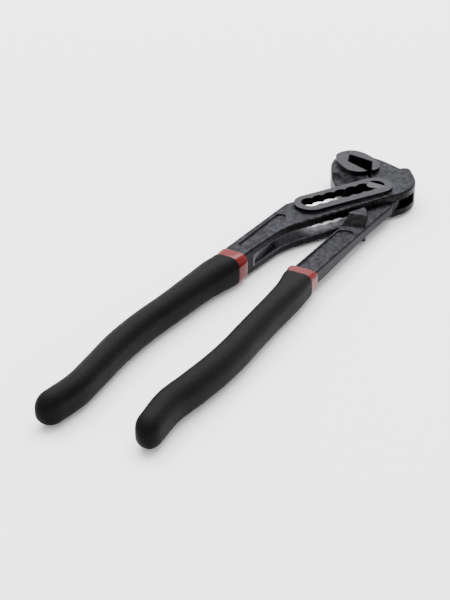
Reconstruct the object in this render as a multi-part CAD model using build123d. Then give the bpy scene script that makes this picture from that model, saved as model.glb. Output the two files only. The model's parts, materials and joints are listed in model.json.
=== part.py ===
from build123d import *
import os
from math import atan2, cos, degrees, hypot, radians, sin

os.makedirs("parts", exist_ok=True)

# Box-joint tongue and groove pliers, 250 mm size, lying flat, jaws closed, in the last notch.
# Plan points are written from the pivot, with +Y towards the jaws; export moves them to the frame.
# Heights are written from the middle plane, because the tool is the same above and below it.

# ---- Driving dimensions, mm ----
half_thickness = 7.25        # over the rims and over the grips
pivot_x = 9.65               # the pivot in the part's frame
pivot_y = 94.64

slot_angle = 30.0            # slot axis, clockwise from +Y
notch_count = 7
notch_pitch = 5.88
notch_radius = 4.10
slot_near_band = 3.45        # straight wall of the slot on the handle side
rim_radius = 7.55
rim_offset = -0.40           # rim centre line, across the slot

leaf_half = 5.75             # outside faces of the two leaves
passage_half = 2.50          # inside faces of the two leaves
relief_half = 3.75           # bottoms of the pockets around the slot
relief_radius = 6.30
leaf_near_edge = -10.4       # leaf edges, across the slot
leaf_far_edge = 7.3
jaw_plate_half = 4.95        # outer jaw behind its pad
pad_half = 6.90              # both jaw pads
panel_depth = 0.7

tongue_half = 2.35           # the inner leg between the leaves
inner_plate_half = 4.60      # the inner jaw behind its pad
inner_front_half = 2.35      # inner handle beside the box
inner_back_half = 3.40       # inner handle at its collar
wedge_front_y = -38.0        # where the inner handle starts to thicken
forging_round = 0.9          # rounded edges of the forgings
boss_half = 6.45             # stop bosses
hub_radius = 11.3            # tongue around the pivot
hub_clearance = 0.55
open_angle = 50.0            # how far the handles open

pin_radius = 4.05
pin_flat = 1.40              # main flat, from the pin axis
pin_second_flat = 3.30
pin_half = 7.15
ring_outer = 4.90
ring_inner = 3.45
ring_half = 0.50
ring_play = 0.06

tooth_pitch = 1.35
tooth_depth = 0.65

red_coat = 0.60              # undercoat thickness
outer_collar_y = -85.8       # front edges of the coats
inner_collar_y = -81.4
collar_length = 6.3
outer_plate_end = -88.4      # ends of the flat handles, inside the coats
inner_plate_end = -83.6

middle = Plane.XY.offset(half_thickness)


# ---- Helpers ----
def slot_point(along, across):
    """Plan point from distances along the slot (towards the jaws) and across it (to the left)."""
    a = radians(slot_angle)
    return (along * sin(a) - across * cos(a), along * cos(a) + across * sin(a))


def slab(face, half, low=None):
    """A plan face as a slab about the middle plane, or as two slabs from low to half."""
    if low is None:
        return extrude(middle * face, half, both=True)
    top = extrude(Plane.XY.offset(half_thickness + low) * face, half - low)
    return top + mirror(top, about=middle)


def rounded(blank, shortest):
    """A solid with the long edges of its upper and lower faces rounded."""
    levels = blank.faces().sort_by(Axis.Z)
    edges = levels[0].edges() + levels[-1].edges()
    return fillet([edge for edge in edges if edge.length > shortest], forging_round)


def polygon(*points):
    return make_face(Polyline(*points, close=True))


def obround(start, end, radius):
    """A plan obround whose end circles are centred on two points."""
    length = hypot(end[0] - start[0], end[1] - start[1])
    angle = degrees(atan2(end[1] - start[1], end[0] - start[0]))
    centre = ((start[0] + end[0]) / 2, (start[1] + end[1]) / 2)
    return Pos(*centre) * Rot(0, 0, angle) * SlotCenterToCenter(length, 2 * radius)


def serrated(start, end, inward):
    """Points of a toothed line: grooves are cut to the side given by inward, +1 left or -1 right."""
    length = hypot(end[0] - start[0], end[1] - start[1])
    count = round(length / tooth_pitch)
    ux, uy = (end[0] - start[0]) / length, (end[1] - start[1]) / length
    points = []
    for i in range(count):
        points.append((start[0] + ux * length * i / count, start[1] + uy * length * i / count))
        step = length * (i + 0.5) / count
        points.append((start[0] + ux * step - inward * uy * tooth_depth,
                       start[1] + uy * step + inward * ux * tooth_depth))
    return points


def rotated(x, y, angle):
    a = radians(angle)
    return (x * cos(a) - y * sin(a), x * sin(a) + y * cos(a))


# ---- Outer leg: slotted double leaf, outer jaw and left handle ----
mouth_tip = (-28.4, 27.0)
mouth_top = (-24.4, 24.1)
mouth_corner = (-12.4, 22.2)
throat = (-8.6, 13.6)
near_bend = (-17.4, -55.8)
handle_near_x = -20.3
handle_far_x = -30.5
pocket_wall = [(-18.6, -79.4), (-20.4, -76.8), (-20.7, -70.0), (-20.8, -63.0), (-21.2, -58.5),
               (-22.3, -54.0), (-24.8, -50.1), (-28.9, -47.6)]
shoulder = [slot_point(-2, leaf_near_edge), (11.4, -1.3), (13.7, 3.6), (14.4, 9.4), (13.2, 15.2),
            (9.8, 20.8), (6.6, 25.0)]
jaw_back = [(2.4, 25.4), (-3.2, 27.7), (-9.4, 29.8), (-16.0, 31.1), (-22.6, 30.9), mouth_tip]


def outer_teeth():
    return (serrated(mouth_top, mouth_corner, 1) + serrated(mouth_corner, throat, 1)
            + [throat])


def outer_outline():
    near = FilletPolyline((handle_near_x, outer_plate_end), near_bend,
                          slot_point(-2, leaf_near_edge), radius=40)
    side = Spline(*shoulder)
    crest = Polyline(shoulder[-1], (4.2, 26.2), jaw_back[0])
    back = Spline(*jaw_back)
    mouth = Polyline(mouth_tip, *outer_teeth(), (-5.9, 9.8), slot_point(3.6, leaf_far_edge),
                     slot_point(-38, leaf_far_edge), (-28.0, -35), (-28.6, -46),
                     (handle_far_x, outer_plate_end), (handle_near_x, outer_plate_end))
    return make_face([near, side, crest, back, mouth])


def notch_centres():
    return [slot_point(-i * notch_pitch, 0) for i in range(notch_count)]


def slot_face():
    """The toothed slot: a round notch for each setting and a band that joins them."""
    ends = notch_centres()
    inner_edge = 2.0
    a = slot_point(0, inner_edge)
    b = slot_point(0, -slot_near_band)
    c = slot_point(-(notch_count - 1) * notch_pitch, -slot_near_band)
    d = slot_point(-(notch_count - 1) * notch_pitch, inner_edge)
    face = polygon(a, b, c, d)
    for x, y in ends:
        face += Pos(x, y) * Circle(notch_radius)
    return face


def passage_face():
    """Where the two leaves stand apart, so that the inner leg goes through and swings."""
    wall = polygon(*pocket_wall, (-34, -46), (-34, 8), (-6.6, 9.4), (0, 0), (12, 11), (24, 11),
                   (24, -30), (-8, -79.4))
    hub = Circle(hub_radius + hub_clearance)
    heel = Pos(*rotated(*heel_centre, open_angle)) * Circle(heel_radius + hub_clearance)
    return wall + hub + heel


def panel_faces():
    """Sunk panels of the outer handle and of the inner handle."""
    outer = obround((-24.7, -78.0), (-23.7, -47.0), 2.35)
    inner = polygon((1.7, -82), (1.4, -42.3), (9.6, -42.3), (9.6, -82)) + Pos(5.5, -42.3) * Circle(4.1)
    return outer, inner


def outer_leg():
    outline = outer_outline()
    step = polygon((-5.9, 9.8), (-4.6, 12.2), (-4.4, 15.4), (-3.8, 18.2), (-1.0, 21.4), (2.4, 25.4),
                   (2, 40), (-45, 40), (-45, 5), (-12, 5))
    first, last = slot_point(0, rim_offset), slot_point(-(notch_count - 1) * notch_pitch, rim_offset)
    leg = rounded(slab(outline, jaw_plate_half), 6) + rounded(slab(outline - step, leaf_half), 6)
    leg += slab(obround(first, last, rim_radius), half_thickness)
    leg += slab(outer_pad(), pad_half)
    leg -= slab(passage_face(), passage_half)
    leg -= slab(slot_face(), half_thickness + 1)
    relief = obround(slot_point(0, 0.3), slot_point(-(notch_count - 1) * notch_pitch, 0.3), relief_radius)
    leg -= slab(relief, relief_half)
    leg -= slab(panel_faces()[0], leaf_half + 1, leaf_half - panel_depth)
    return leg + handle_loft(outer_stations[1:], "steel")


def outer_pad():
    edge = Spline(throat, (-6.9, 16.0), (-7.1, 19.6), (-9.8, 23.6), (-15.0, 27.2), (-20.5, 29.4),
                  (-25.4, 29.3), mouth_tip)
    mouth = Polyline(mouth_tip, *outer_teeth())
    return make_face([edge, mouth])


# ---- Inner leg: tongue, inner jaw, stop bosses and right handle ----
heel_centre = (1.9, -8.6)
heel_radius = 10.1
jaw_gap = 0.3
inner_tip = (-28.6, 26.7)
inner_mouth_top = (-24.6, 23.8)
inner_mouth_corner = (-22.2, 17.2)
inner_throat = (-9.9, 12.3)
leg_left_x = 0.4
leg_right_x = 11.2
jaw_heel = [(-20.0, -0.8), (-25.1, 5.9), (-28.5, 11.6), (-30.6, 16.7), (-31.4, 21.0), (-30.6, 24.5),
            inner_tip]


def inner_teeth():
    return (serrated(inner_mouth_top, inner_mouth_corner, -1)
            + serrated(inner_mouth_corner, inner_throat, -1) + [inner_throat])


def inner_outline():
    """Tongue, jaw and handle in plan, clockwise from the collar."""
    left = Spline((leg_left_x, -38), (-0.1, -30), (-3.0, -21.5), (-9.0, -13), jaw_heel[0],
                  tangents=[(0, 1), (-0.6, 0.8)])
    back = Spline(*jaw_heel, tangents=[(-0.6, 0.8), (0.8, 0.6)])
    mouth = Polyline(inner_tip, *inner_teeth())
    hub_start = rotated(hub_radius, 0, 128)
    hub_end = (10.70, -3.64)
    hub = ThreePointArc(hub_start, rotated(hub_radius, 0, 65), hub_end)
    heel_end = (heel_centre[0] + heel_radius, heel_centre[1])
    heel = ThreePointArc(hub_end, (heel_centre[0] + heel_radius * cos(radians(15)),
                                   heel_centre[1] + heel_radius * sin(radians(15))), heel_end)
    right = Spline(heel_end, (11.6, -17), (11.3, -28), (leg_right_x, -38), tangents=[(0, -1), (0, -1)])
    rest = Polyline((leg_right_x, -38), (leg_right_x, inner_plate_end),
                    (leg_left_x, inner_plate_end), (leg_left_x, -38))
    return make_face([left, back, mouth, Line(inner_throat, hub_start), hub, heel, right, rest])


def inner_pad():
    edge = Spline(inner_throat, (-12.4, 9.6), (-15.4, 8.6), (-19.0, 9.1), (-23.4, 12.0), (-28.0, 16.6),
                  (-30.1, 20.0), (-30.2, 23.6), inner_tip)
    mouth = Polyline(inner_tip, *inner_teeth())
    return make_face([edge, mouth])


def tongue_and_handle():
    """A flat tongue, and a handle that starts at its thickness and thickens towards its end."""
    front, back = inner_front_half, inner_back_half
    outline = inner_outline()
    ahead = Pos(0, wedge_front_y + 100) * Rectangle(200, 200)
    profile = polygon((-84, -back), (wedge_front_y, -front), (wedge_front_y, front), (-84, back))
    wedge = Pos(0, 0, half_thickness) * extrude(Plane.YZ * profile, 50, both=True)
    tongue = rounded(slab(outline, tongue_half), 6) & slab(ahead, 6)
    handle = slab(outline - ahead, 6) & wedge
    return tongue + rounded(handle, 20)


def stop_boss():
    """A lump on each face beside the box, which keeps fingers out of the gap."""
    base = Plane.XY.offset(half_thickness + inner_front_half - 0.5) * polygon(
        (0.5, -36.8), (0.5, -31.6), (4.4, -19.9), (7.3, -22.4), (10.9, -33.0), (6.3, -35.2))
    top = Plane.XY.offset(half_thickness + boss_half) * polygon(
        (2.0, -30.4), (1.2, -29.8), (4.9, -21.9), (6.3, -23.0), (9.4, -28.8), (5.6, -29.4))
    upper = loft([base, top], ruled=True)
    return upper + mirror(upper, about=middle)


def jaw_plate():
    """The inner jaw behind its pad, with a ramp down to the tongue."""
    zone = polygon((-6.2, 5.0), (-36, -0.3), (-40, 40), (0, 40), (0, 12), (-6.2, 10.7))
    plate = rounded(slab(inner_outline(), inner_plate_half), 6) & slab(zone, 6)
    ramp_start = (-16, 5.6)
    for side in (1, -1):
        ramp = Plane(origin=(*ramp_start, half_thickness + side * tongue_half),
                     x_dir=(0.985, 0.174, 0), z_dir=(0.10, -0.56, side * 0.82))
        plate = split(plate, bisect_by=ramp, keep=Keep.BOTTOM)
    return plate


def inner_leg():
    jaw = jaw_plate() + slab(inner_pad(), pad_half)
    leg = tongue_and_handle() + stop_boss() + jaw
    leg += handle_loft(inner_stations[1:], "steel")
    slope = (inner_back_half - inner_front_half) / (84 + wedge_front_y)
    leg -= slab(Circle(pin_radius), half_thickness)
    leg -= slab(Circle(ring_outer + ring_play), ring_half + ring_play)
    floor = Plane(origin=(0, -84, half_thickness + inner_back_half - panel_depth),
                  x_dir=(1, 0, 0), z_dir=(0, slope, 1))
    panel = extrude(floor * Pos(0, 84) * panel_faces()[1], 3)
    return leg - panel - mirror(panel, about=middle)


# ---- Pin and its ring ----
def pivot_pin():
    pin = slab(Circle(pin_radius), pin_half)
    groove = slab(Circle(pin_radius + 1) - Circle(ring_inner - ring_play), ring_half + ring_play)
    flats = [(-slot_angle + 90 + 28, pin_flat), (-slot_angle + 90 - 90 - open_angle, pin_second_flat)]
    for angle, distance in flats:
        cutter = Rot(0, 0, angle) * Pos(distance + 5, 0) * Rectangle(10, 12)
        pin -= slab(cutter, half_thickness, passage_half)
    return pin - groove


def snap_ring():
    gap = Pos(-ring_outer, 0) * Rectangle(4, 1.2)
    return slab(Circle(ring_outer) - Circle(ring_inner) - gap, ring_half)


# ---- Dipped coats ----
# Stations of each handle from its collar to its end: y, centre x, half width, half thickness
# and corner roundness of the black grip, and thickness of the black coat there.
outer_stations = [
    (-78, -25.3, 7.4, 6.75, 0.55, 0.4), (-87, -25.3, 7.4, 6.80, 0.60, 0.4),
    (-93, -25.6, 6.9, 6.90, 0.70, 0.4), (-100, -26.9, 6.9, 6.90, 0.80, 1.0),
    (-108, -27.8, 6.4, 6.90, 0.90, 1.4), (-118, -28.4, 6.0, 6.90, 0.95, 1.6),
    (-132, -29.2, 5.5, 6.90, 0.97, 1.6), (-150, -30.5, 5.5, 6.90, 0.97, 1.6),
    (-168, -30.4, 5.5, 6.90, 0.97, 1.6), (-186, -28.6, 5.2, 6.90, 0.97, 1.6),
    (-200, -27.5, 5.1, 6.90, 0.97, 1.6), (-213.2, -28.8, 5.1, 6.90, 0.97, 1.6)]
inner_stations = [
    (-75, 5.6, 7.4, 4.80, 0.60, 0.4), (-82, 5.6, 7.4, 4.90, 0.60, 0.4),
    (-88.5, 6.4, 6.8, 5.70, 0.65, 0.4), (-98, 7.8, 6.3, 6.40, 0.75, 1.0),
    (-108, 8.4, 6.0, 6.70, 0.85, 1.4), (-120, 8.9, 5.8, 6.90, 0.92, 1.6),
    (-134, 9.6, 6.0, 6.90, 0.97, 1.6), (-148, 10.5, 6.1, 6.90, 0.97, 1.6),
    (-162, 10.5, 6.2, 6.90, 0.97, 1.6), (-178, 9.4, 6.2, 6.90, 0.97, 1.6),
    (-192, 8.1, 5.8, 6.90, 0.97, 1.6), (-207.6, 9.9, 5.2, 6.90, 0.97, 1.6)]
end_turns = (20, 40, 56, 70, 81)     # degrees around the rounded end of a handle
end_reach = 1.08                     # length of the rounded end over its half thickness


def section(y, x, half_width, half_height, roundness):
    """A rounded cross-section of a handle."""
    plane = Plane(origin=(x, y, half_thickness), x_dir=(1, 0, 0), z_dir=(0, -1, 0))
    corner = roundness * min(half_width, half_height)
    return plane * RectangleRounded(2 * half_width, 2 * half_height, corner)


def handle_loft(stations, layer):
    """The solid inside one surface of a handle: black outside, red under it, or the steel."""
    faces = []
    for y, x, a, b, roundness, black in stations:
        under = {"black": 0, "red": black, "steel": black + red_coat}[layer]
        faces.append(section(y, x, a - under, b - under, roundness))
    lean = (stations[-1][1] - stations[-2][1]) / (stations[-2][0] - stations[-1][0])
    for turn in end_turns:
        half_width = (a - under) * cos(radians(turn))
        half_height = (b - under) * cos(radians(turn))
        reach = end_reach * (b - under) * sin(radians(turn))
        faces.append(section(y - reach, x + lean * reach, half_width, half_height, roundness))
    return loft(faces, ruled=True)


def beyond(y):
    """Everything on the handle side of a plane across the handles."""
    return Pos(0, y - 100, half_thickness) * Box(200, 200, 60)


def coats(stations, collar_y, leg):
    red_full = handle_loft(stations, "red") & beyond(collar_y)
    black_full = handle_loft(stations, "black") & beyond(collar_y - collar_length)
    return red_full - leg, black_full - red_full


def export(name, solid):
    solid = Pos(pivot_x, pivot_y) * solid
    export_step(solid, f"parts/{name}.step")


if __name__ == "__main__":
    outer = outer_leg()
    inner = inner_leg()
    export("outer_leg", outer)
    export("inner_leg", inner)
    export("pivot_pin", pivot_pin())
    export("snap_ring", snap_ring())
    outer_undercoat, outer_grip = coats(outer_stations, outer_collar_y, outer)
    inner_undercoat, inner_grip = coats(inner_stations, inner_collar_y, inner)
    export("outer_undercoat", outer_undercoat)
    export("outer_grip", outer_grip)
    export("inner_undercoat", inner_undercoat)
    export("inner_grip", inner_grip)
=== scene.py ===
import json
import math

import bpy
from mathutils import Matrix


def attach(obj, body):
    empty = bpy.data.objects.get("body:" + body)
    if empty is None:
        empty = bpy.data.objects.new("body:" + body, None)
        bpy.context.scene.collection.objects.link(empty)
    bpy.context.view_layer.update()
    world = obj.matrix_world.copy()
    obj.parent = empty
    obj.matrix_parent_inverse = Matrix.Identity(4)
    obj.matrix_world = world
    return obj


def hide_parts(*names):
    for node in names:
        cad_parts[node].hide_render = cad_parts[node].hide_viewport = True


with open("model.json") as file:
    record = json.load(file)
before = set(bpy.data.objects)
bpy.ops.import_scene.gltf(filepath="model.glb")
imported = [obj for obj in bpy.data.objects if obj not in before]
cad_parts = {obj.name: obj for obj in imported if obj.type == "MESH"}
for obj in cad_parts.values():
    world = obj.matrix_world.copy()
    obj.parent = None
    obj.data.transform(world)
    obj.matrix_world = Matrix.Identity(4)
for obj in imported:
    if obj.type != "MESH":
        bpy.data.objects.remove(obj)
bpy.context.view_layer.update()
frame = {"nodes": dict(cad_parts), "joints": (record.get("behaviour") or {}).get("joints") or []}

# Tongue and groove pliers. Sizes are in mm, and places are from the pivot at half the thickness,
# with X towards the right handle and Y towards the jaws; place() turns them into the frame's metres.
MM = 0.001
PIVOT = next(joint["pos_m"] for joint in frame["joints"] if joint["name"] == "leg_pivot")


def place(x, y, z):
    return (PIVOT[0] + x * MM, PIVOT[1] + y * MM, PIVOT[2] + z * MM)


# ---- Camera ----
camera = bpy.data.objects.new("camera", bpy.data.cameras.new("camera"))
bpy.context.scene.collection.objects.link(camera)
bpy.context.scene.camera = camera
camera.location = (0.2787, -0.50839, 0.333)
camera.rotation_euler = (math.radians(60), 0, math.radians(30))
camera.data.lens = 96
camera.data.sensor_width = 36


# ---- Floor and light ----
FLOOR_HALF = 6
floor_mesh = bpy.data.meshes.new("floor")
floor_mesh.from_pydata([(-FLOOR_HALF, -FLOOR_HALF, 0), (FLOOR_HALF, -FLOOR_HALF, 0),
                        (FLOOR_HALF, FLOOR_HALF, 0), (-FLOOR_HALF, FLOOR_HALF, 0)], [], [(0, 1, 2, 3)])
floor = bpy.data.objects.new("floor", floor_mesh)
bpy.context.scene.collection.objects.link(floor)
floor_material = bpy.data.materials.new("floor")
floor_material.use_nodes = True
floor_shader = floor_material.node_tree.nodes["Principled BSDF"]
floor_shader.inputs["Base Color"].default_value = (0.93, 0.93, 0.93, 1)
floor_shader.inputs["Roughness"].default_value = 0.9
floor_shader.inputs["Specular IOR Level"].default_value = 0.1
floor_mesh.materials.append(floor_material)

world = bpy.data.worlds.new("studio")
bpy.context.scene.world = world
world.use_nodes = True
world.node_tree.nodes["Background"].inputs["Color"].default_value = (1, 1, 1, 1)
world.node_tree.nodes["Background"].inputs["Strength"].default_value = 1.7

# A square softbox above the tool, behind it and to the left, which faces the frame's origin
light_x, light_y, light_z = -0.6, 0.9, 2.2
light_data = bpy.data.lights.new("overhead", "AREA")
light_data.shape = "SQUARE"
light_data.size = 3.0
light_data.energy = 230
light = bpy.data.objects.new("overhead", light_data)
bpy.context.scene.collection.objects.link(light)
light.location = (light_x, light_y, light_z)
light.rotation_euler = (0, math.atan2(math.hypot(light_x, light_y), light_z), math.atan2(light_y, light_x))


# ---- Materials ----
class Nodes:
    """A material's node tree, with short ways to add the nodes used here."""

    def __init__(self, name):
        self.material = bpy.data.materials.new(name)
        self.material.use_nodes = True
        self.tree = self.material.node_tree
        self.shader = self.tree.nodes["Principled BSDF"]
        self.place = self.tree.nodes.new("ShaderNodeTexCoord").outputs["Object"]

    def link(self, source, target):
        """Links an output to a socket, or sets the socket to a plain value."""
        if hasattr(source, "is_output"):
            self.tree.links.new(source, target)
        else:
            target.default_value = source

    def math(self, operation, a, b=0.0, c=0.0, clamp=False):
        node = self.tree.nodes.new("ShaderNodeMath")
        node.operation = operation
        node.use_clamp = clamp
        for value, socket in zip((a, b, c), node.inputs):
            self.link(value, socket)
        return node.outputs[0]

    def times(self, a, b):
        return self.math("MULTIPLY", a, b)

    def inverse(self, value):
        """1 less a 0 to 1 value."""
        return self.math("SUBTRACT", 1.0, value)

    def between(self, value, low, high):
        """0 below low, 1 above high and smooth between them."""
        node = self.tree.nodes.new("ShaderNodeMapRange")
        node.interpolation_type = "SMOOTHSTEP"
        self.link(value, node.inputs["Value"])
        node.inputs["From Min"].default_value = low
        node.inputs["From Max"].default_value = high
        return node.outputs["Result"]

    def spread(self, value, low, high):
        """A 0 to 1 value mapped to low to high."""
        return self.math("MULTIPLY_ADD", value, high - low, low)

    def scaled(self, x, y, z):
        """The place in the frame, stretched along each axis."""
        node = self.tree.nodes.new("ShaderNodeMapping")
        self.link(self.place, node.inputs["Vector"])
        node.inputs["Scale"].default_value = (x, y, z)
        return node.outputs["Vector"]

    def noise(self, scale, detail=3.0, vector=None, roughness=0.55):
        """Noise with about scale lumps to the metre."""
        node = self.tree.nodes.new("ShaderNodeTexNoise")
        self.link(vector if vector is not None else self.place, node.inputs["Vector"])
        node.inputs["Scale"].default_value = scale
        node.inputs["Detail"].default_value = detail
        node.inputs["Roughness"].default_value = roughness
        return node.outputs["Fac"]

    def mix(self, factor, a, b):
        """Colour a where the factor is 0 and colour b where it is 1."""
        node = self.tree.nodes.new("ShaderNodeMix")
        node.data_type = "RGBA"
        self.link(factor, node.inputs["Factor"])
        self.link(a, node.inputs["A"])
        self.link(b, node.inputs["B"])
        return node.outputs["Result"]

    def bump(self, height, strength, distance, normal=None):
        node = self.tree.nodes.new("ShaderNodeBump")
        node.inputs["Strength"].default_value = strength
        node.inputs["Distance"].default_value = distance
        self.link(height, node.inputs["Height"])
        if normal is not None:
            self.link(normal, node.inputs["Normal"])
        return node.outputs["Normal"]

    def split(self, vector, axis):
        node = self.tree.nodes.new("ShaderNodeSeparateXYZ")
        self.link(vector, node.inputs[0])
        return node.outputs[axis]

    def true_normal(self):
        return self.tree.nodes.new("ShaderNodeNewGeometry").outputs["True Normal"]

    def edges(self, radius):
        """Normals rounded over sharp edges, and how near to an edge a point is."""
        bevel = self.tree.nodes.new("ShaderNodeBevel")
        bevel.samples = 4
        bevel.inputs["Radius"].default_value = radius
        dot = self.tree.nodes.new("ShaderNodeVectorMath")
        dot.operation = "DOT_PRODUCT"
        self.link(bevel.outputs["Normal"], dot.inputs[0])
        self.link(self.true_normal(), dot.inputs[1])
        near = self.between(self.inverse(dot.outputs["Value"]), 0.01, 0.16)
        return bevel.outputs["Normal"], near

    def lies_flat(self):
        """How far a face lies flat, from 0 on upright walls to 1."""
        return self.between(self.math("ABSOLUTE", self.split(self.true_normal(), "Z")), 0.75, 0.98)

    def height(self):
        """Distance from the middle plane, in metres, the same above and below it."""
        return self.math("ABSOLUTE", self.math("SUBTRACT", self.split(self.place, "Z"), PIVOT[2]))


# Levels are from the middle plane, and places along the tool and the cutter's centre from the pivot
GROUND_LEVELS = (6.6, 6.8)            # the rims and jaw pads are ground above these
PASSAGE_LEVELS = (2.6, 2.8)           # the outer leg's passage is milled below these
PASSAGE_START = (-79.3, -79.1)        # the passage's end by the collar
PASSAGE_FADE = (-34, -14)             # where its bright finish and painted light fade out towards the pivot
CUTTER_CENTRE = (18, -62)             # of the cutter that opened the passage


def grey(value, blue=1.06):
    return (value, value * 1.01, value * blue, 1)


def milled_and_painted_light(n):
    """How far a point is in the bright stretch of the passage, from 0 to 1.

    It goes by level and place along the tool alone, so the leg's outer sides there are bright too. The
    brightness is partly the milled bare steel and partly painted light on the shaded passage and those
    sides.
    """
    high = n.between(n.height(), *(level * MM for level in PASSAGE_LEVELS))
    along = n.split(n.place, "Y")
    started = n.between(along, *(PIVOT[1] + y * MM for y in PASSAGE_START))
    faded = n.between(along, *(PIVOT[1] + y * MM for y in PASSAGE_FADE))
    return n.times(n.inverse(high), n.times(started, n.inverse(faded)))


def cutter_rings(n):
    """Fine rings about the upright axis of the cutter."""
    rings = n.tree.nodes.new("ShaderNodeTexWave")
    rings.wave_type = "RINGS"
    rings.rings_direction = "Z"
    rings.inputs["Scale"].default_value = 320
    rings.inputs["Distortion"].default_value = 0.6
    shift = n.tree.nodes.new("ShaderNodeMapping")
    n.link(n.place, shift.inputs["Vector"])
    centre_x, centre_y, _ = place(*CUTTER_CENTRE, 0)
    shift.inputs["Location"].default_value = (-centre_x, -centre_y, 0)
    n.link(shift.outputs["Vector"], rings.inputs["Vector"])
    return rings.outputs["Fac"]


def forged_steel(name, has_passage):
    """Dark burnished forging: mottled faces, darker walls that are partly painted shade, ground rims and
    pads, and worn edges.

    The leg that has the passage is milled bright there, with the rings of the cutter; the bright colour is
    partly painted light on the shaded passage.
    """
    n = Nodes(name)
    mottle = n.noise(420, 6, roughness=0.72)
    patches = n.noise(55, 3)
    flat = n.lies_flat()
    normal, near_edge = n.edges(0.35 * MM)

    speckle = n.between(mottle, 0.40, 0.60)
    dapple = n.math("MULTIPLY", speckle, n.spread(patches, 0.5, 1.3), clamp=True)
    face = n.mix(dapple, grey(0.0025, 1.18), grey(0.0210, 1.18))
    # Upright walls get a darker colour than flat faces: partly the sides' own forged finish and partly
    # painted shade.
    wall_tone_and_shade = n.mix(speckle, grey(0.004, 1.03), grey(0.011, 1.03))
    colour = n.mix(flat, wall_tone_and_shade, face)

    lines = n.noise(1, 4, vector=n.scaled(2600, 260, 400))
    ground = n.times(n.between(n.height(), *(level * MM for level in GROUND_LEVELS)), flat)
    colour = n.mix(ground, colour, n.mix(lines, grey(0.018, 1.10), grey(0.032, 1.10)))
    worn = n.times(near_edge, n.between(patches, 0.30, 0.65))
    colour = n.mix(n.times(worn, 0.6), colour, grey(0.055))

    grain = n.math("ADD", n.times(n.noise(1500, 3), 0.6), n.times(mottle, 0.8))
    normal = n.bump(grain, 0.30, 0.06 * MM, normal)
    if has_passage:
        passage_finish_and_light = milled_and_painted_light(n)
        # Milled bare steel in the passage, made brighter as painted light on its shaded floor and walls.
        colour = n.mix(passage_finish_and_light, colour, n.mix(speckle, grey(0.05, 1.10), grey(0.11, 1.10)))
        normal = n.bump(n.times(n.times(cutter_rings(n), passage_finish_and_light), flat), 0.45, 0.08 * MM, normal)

    n.shader.inputs["Metallic"].default_value = 1.0
    n.shader.inputs["Specular Tint"].default_value = (0.82, 0.82, 0.84, 1)
    n.link(colour, n.shader.inputs["Base Color"])
    n.link(n.spread(mottle, 0.34, 0.58), n.shader.inputs["Roughness"])
    n.link(normal, n.shader.inputs["Normal"])
    return n.material


def turned_steel(name, dark, light, roughness):
    """Small machined parts, with fine streaks and bright edges."""
    n = Nodes(name)
    fine = n.noise(1, 4, vector=n.scaled(900, 2200, 900))
    soft = n.noise(380, 3)
    normal, near_edge = n.edges(0.25 * MM)
    colour = n.mix(fine, grey(dark, 1.02), grey(light, 1.02))
    colour = n.mix(n.times(near_edge, 0.6), colour, grey(0.08))
    n.shader.inputs["Metallic"].default_value = 1.0
    n.link(colour, n.shader.inputs["Base Color"])
    n.link(n.spread(soft, roughness - 0.08, roughness + 0.12), n.shader.inputs["Roughness"])
    n.link(n.bump(n.math("ADD", fine, soft), 0.2, 0.04 * MM, normal), n.shader.inputs["Normal"])
    return n.material


def dipped_black():
    """Matt soft plastic with a fine orange peel."""
    n = Nodes("black_coat")
    peel = n.noise(1250, 2)
    fine = n.noise(3200, 2)
    cloud = n.noise(70, 3)
    colour = n.mix(cloud, (0.0010, 0.0010, 0.0011, 1), (0.0022, 0.0021, 0.0022, 1))
    n.shader.inputs["Specular IOR Level"].default_value = 0.05
    n.link(colour, n.shader.inputs["Base Color"])
    n.link(n.spread(n.times(cloud, peel), 0.50, 0.72), n.shader.inputs["Roughness"])
    n.link(n.bump(n.math("ADD", peel, n.times(fine, 0.5)), 0.9, 0.22 * MM), n.shader.inputs["Normal"])
    return n.material


def dipped_red():
    """Glossy undercoat with faint waves."""
    n = Nodes("red_coat")
    cloud = n.noise(120, 3)
    peel = n.noise(700, 2)
    colour = n.mix(cloud, (0.075, 0.0002, 0.0012, 1), (0.105, 0.0004, 0.0022, 1))
    n.shader.inputs["Specular IOR Level"].default_value = 0.18
    n.link(colour, n.shader.inputs["Base Color"])
    n.link(n.spread(peel, 0.16, 0.24), n.shader.inputs["Roughness"])
    n.link(n.bump(peel, 0.06, 0.05 * MM), n.shader.inputs["Normal"])
    return n.material


finishes = {
    "outer_leg": forged_steel("outer_steel", has_passage=True),
    "inner_leg": forged_steel("inner_steel", has_passage=False),
    "pivot_pin": turned_steel("pin_steel", 0.018, 0.042, 0.34),
    "snap_ring": turned_steel("ring_steel", 0.010, 0.020, 0.42),
}
for node, finish in finishes.items():
    for material_slot in frame["nodes"][node].material_slots:
        material_slot.material = finish


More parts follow.
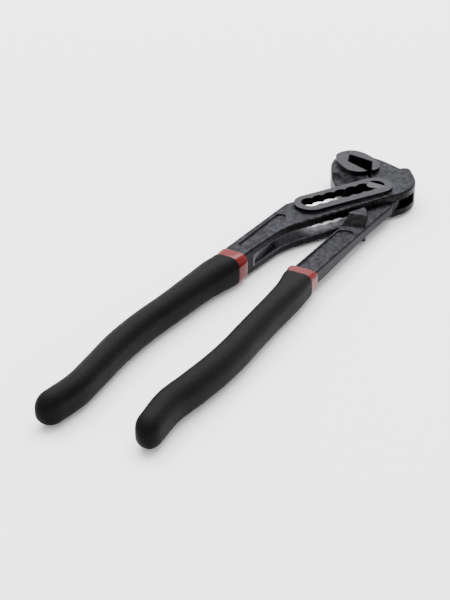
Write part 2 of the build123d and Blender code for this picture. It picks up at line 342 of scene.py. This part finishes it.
# ---- Dipped coats ----
# Stations from a collar to the handle's end: y, x, half width, half thickness and corner
# roundness of the black surface, and the thickness of the black coat. Most of a grip shares
# its last three.
GRIP = (6.90, 0.97, 1.6)
OUTER_STATIONS = [
    (-78, -25.3, 7.4, 6.75, 0.55, 0.4), (-87, -25.3, 7.4, 6.80, 0.60, 0.4),
    (-93, -25.6, 6.9, 6.90, 0.70, 0.4), (-100, -26.9, 6.9, 6.90, 0.80, 1.0),
    (-108, -27.8, 6.4, 6.90, 0.90, 1.4), (-118, -28.4, 6.0, 6.90, 0.95, 1.6),
    (-132, -29.2, 5.5, *GRIP), (-150, -30.5, 5.5, *GRIP), (-168, -30.4, 5.5, *GRIP),
    (-186, -28.6, 5.2, *GRIP), (-200, -27.5, 5.1, *GRIP), (-213.2, -28.8, 5.1, *GRIP)]
INNER_STATIONS = [
    (-75, 5.6, 7.4, 4.80, 0.60, 0.4), (-82, 5.6, 7.4, 4.90, 0.60, 0.4),
    (-88.5, 6.4, 6.8, 5.70, 0.65, 0.4), (-98, 7.8, 6.3, 6.40, 0.75, 1.0),
    (-108, 8.4, 6.0, 6.70, 0.85, 1.4), (-120, 8.9, 5.8, 6.90, 0.92, 1.6),
    (-134, 9.6, 6.0, *GRIP), (-148, 10.5, 6.1, *GRIP), (-162, 10.5, 6.2, *GRIP),
    (-178, 9.4, 6.2, *GRIP), (-192, 8.1, 5.8, *GRIP), (-207.6, 9.9, 5.2, *GRIP)]
OUTER_COLLAR_Y = -85.8                    # front edges of the red coats
INNER_COLLAR_Y = -81.4
COLLAR_LENGTH = 6.3                       # red that the black coat leaves bare
RED_EDGE = 0.55                           # radii of the coats' front edges
BLACK_EDGE = 0.45
FRONT_TURNS = (0, 22.5, 45, 67.5, 90)     # degrees around a front edge
CORNER_POINTS = 12                        # points on each rounded corner of a section
SECTION_STEP = 1.5                        # distance between sections
END_REACH = 1.08                          # length of the rounded end over its half thickness
END_SECTIONS = 12


def station_at(stations, y):
    """x, half width, half thickness, roundness and black coat at y, on smooth curves."""
    last = len(stations) - 1
    i = next((k for k in range(last) if stations[k + 1][0] <= y), last - 1)
    before, start = stations[max(i - 1, 0)], stations[i]
    end, after = stations[i + 1], stations[min(i + 2, last)]
    span = end[0] - start[0]
    t = (y - start[0]) / span
    values = []
    for k in range(1, len(start)):
        slope_in = (end[k] - before[k]) / (end[0] - before[0]) * span
        slope_out = (after[k] - start[k]) / (after[0] - start[0]) * span
        values.append(start[k] * (2 * t**3 - 3 * t**2 + 1) + slope_in * (t**3 - 2 * t**2 + t)
                      + end[k] * (3 * t**2 - 2 * t**3) + slope_out * (t**3 - t**2))
    return values


def section(y, x, half_width, half_height, roundness):
    """Points round one section of a handle, a rectangle with rounded corners."""
    corner = roundness * min(half_width, half_height)
    points = []
    for quarter, (side, level) in enumerate([(1, 1), (-1, 1), (-1, -1), (1, -1)]):
        for k in range(CORNER_POINTS):
            turn = math.radians(90 * quarter + 90 * k / (CORNER_POINTS - 1))
            points.append(place(x + side * (half_width - corner) + corner * math.cos(turn), y,
                                level * (half_height - corner) + corner * math.sin(turn)))
    return points


def coat_sections(stations, front, edge_radius, under_black):
    """A coat's sections, from its rounded front edge to its rounded end, and the tip of the end."""
    def sized(y, inset=0.0):
        x, half_width, half_height, roundness, black = station_at(stations, y)
        depth = inset + (black if under_black else 0.0)
        return x, half_width - depth, half_height - depth, roundness

    sections = []
    for turn in FRONT_TURNS:
        inset = edge_radius * (1 - math.sin(math.radians(turn)))
        y = front - edge_radius * (1 - math.cos(math.radians(turn)))
        sections.append(section(y, *sized(y, inset)))

    start, end = front - edge_radius, stations[-1][0]
    steps = round((start - end) / SECTION_STEP)
    for k in range(1, steps + 1):
        y = start + (end - start) * k / steps
        sections.append(section(y, *sized(y)))

    x, half_width, half_height, roundness = sized(end)
    lean = (stations[-1][1] - stations[-2][1]) / (stations[-2][0] - end)
    length = END_REACH * half_height
    for k in range(1, END_SECTIONS):
        turn = math.radians(90 * k / END_SECTIONS)
        reach, shrink = length * math.sin(turn), math.cos(turn)
        sections.append(section(end - reach, x + lean * reach, half_width * shrink,
                                half_height * shrink, roundness))
    return sections, place(x + lean * length, end - length, 0)


def skin(name, sections, tip):
    """A closed mesh along the sections, flat in front and drawn together to the tip."""
    count = len(sections[0])
    points = [point for one in sections for point in one] + [tip]
    last = (len(sections) - 1) * count
    faces = []
    for row in range(0, last, count):
        for k in range(count):
            step = (k + 1) % count
            faces.append((row + k, row + step, row + count + step, row + count + k))
    faces += [(last + k, last + (k + 1) % count, len(points) - 1) for k in range(count)]
    faces.append(tuple(range(count - 1, -1, -1)))
    mesh = bpy.data.meshes.new(name)
    mesh.from_pydata(points, [], faces)
    mesh.polygons.foreach_set("use_smooth", [True] * (len(faces) - 1) + [False])
    mesh.validate()
    mesh.update()
    return mesh


def coat(mesh, material, body, node):
    """A coat as a piece that rides on a body and stands for a CAD node."""
    mesh.materials.append(material)
    piece = bpy.data.objects.new(mesh.name, mesh)
    bpy.context.scene.collection.objects.link(piece)
    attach(piece, body)
    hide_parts(node)


black = dipped_black()
red = dipped_red()
for side, body, stations, collar_y in [("outer", "slotted_leg", OUTER_STATIONS, OUTER_COLLAR_Y),
                                       ("inner", "swinging_leg", INNER_STATIONS, INNER_COLLAR_Y)]:
    red_shape = coat_sections(stations, collar_y, RED_EDGE, under_black=True)
    coat(skin(f"{side}_red_coat", *red_shape), red, body, f"{side}_undercoat")
    black_shape = coat_sections(stations, collar_y - COLLAR_LENGTH, BLACK_EDGE, under_black=False)
    coat(skin(f"{side}_black_coat", *black_shape), black, body, f"{side}_grip")
